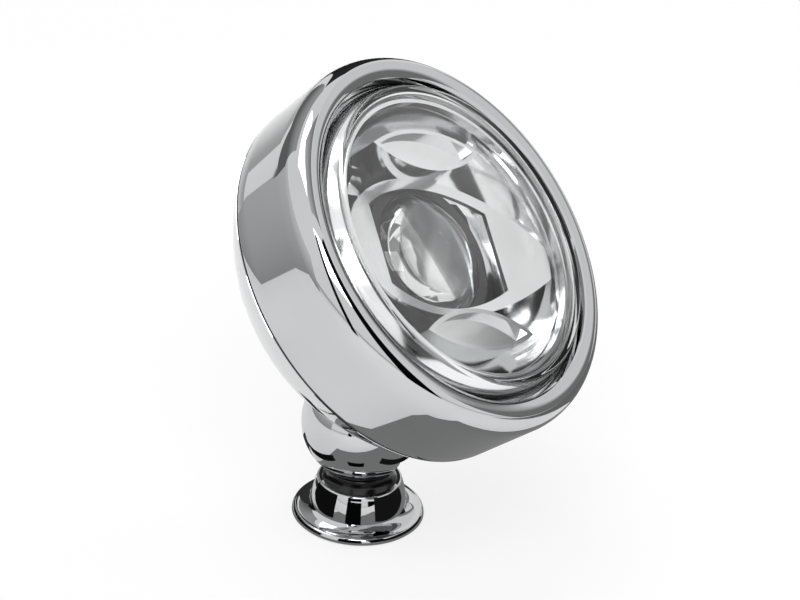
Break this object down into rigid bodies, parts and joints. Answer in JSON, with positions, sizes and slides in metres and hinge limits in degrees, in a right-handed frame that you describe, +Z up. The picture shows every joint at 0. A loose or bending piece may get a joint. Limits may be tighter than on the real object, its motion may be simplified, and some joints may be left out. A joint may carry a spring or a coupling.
{
  "type": "driving light",
  "caption": "Round chromed driving light with a clear cover lens over a projector optic, on a ball swivel with a rubber seat and a round foot.",
  "frame": {"origin": "centre of the foot's underside, on the mouth of its threaded hole", "axes": "+Z up out of the mounting surface, the lamp faces -Y, X across the lamp"},
  "size_m": [0.1452, 0.1324, 0.1757],
  "materials": {
    "chrome": "bright chrome plate",
    "clear_lens": "clear moulded lens",
    "optic_glass": "polished optic",
    "mirror_coat": "vacuum metallised",
    "black_rubber": "gloss black rubber",
    "zinc_steel": "zinc plated",
    "black_plastic": "moulded, fine grain",
    "bulb_quartz": "clear quartz"
  },
  "bodies": {
    "base": {"foot": "chrome", "swivel_seat": "black_rubber", "hollow_stud": "zinc_steel", "flat_washer": "zinc_steel", "spring_washer": "zinc_steel", "stud_nut": "zinc_steel"},
    "guide": {"ball_guide": "zinc_steel"},
    "head": {"bezel_ring": "chrome", "rear_bowl": "chrome", "swivel_ball": "chrome", "front_lens": "clear_lens", "projector_lens": "optic_glass", "light_mask": "mirror_coat", "projector_reflector": "mirror_coat", "lens_gasket": "black_rubber", "housing_seal": "black_rubber", "bezel_screws": "zinc_steel", "bezel_nuts": "zinc_steel", "lens_clips": "zinc_steel", "module_screws": "zinc_steel", "bulb_clip": "zinc_steel", "ball_screws": "zinc_steel", "lens_holder": "black_plastic", "lens_sleeve": "black_plastic", "bulb_connector": "black_plastic", "cable_gland": "black_plastic", "gland_nut": "black_plastic", "bulb": "bulb_quartz"}
  },
  "joints": [
    {"name": "pan", "type": "hinge", "parent": "base", "child": "guide", "pos_m": [0, 0, 0.0394], "axis": [0, 0, 1], "continuous": true},
    {"name": "tilt", "type": "hinge", "parent": "guide", "child": "head", "pos_m": [0, 0, 0.0394], "axis": [-1, 0, 0], "range_deg": [-43.4, 5]}
  ]
}
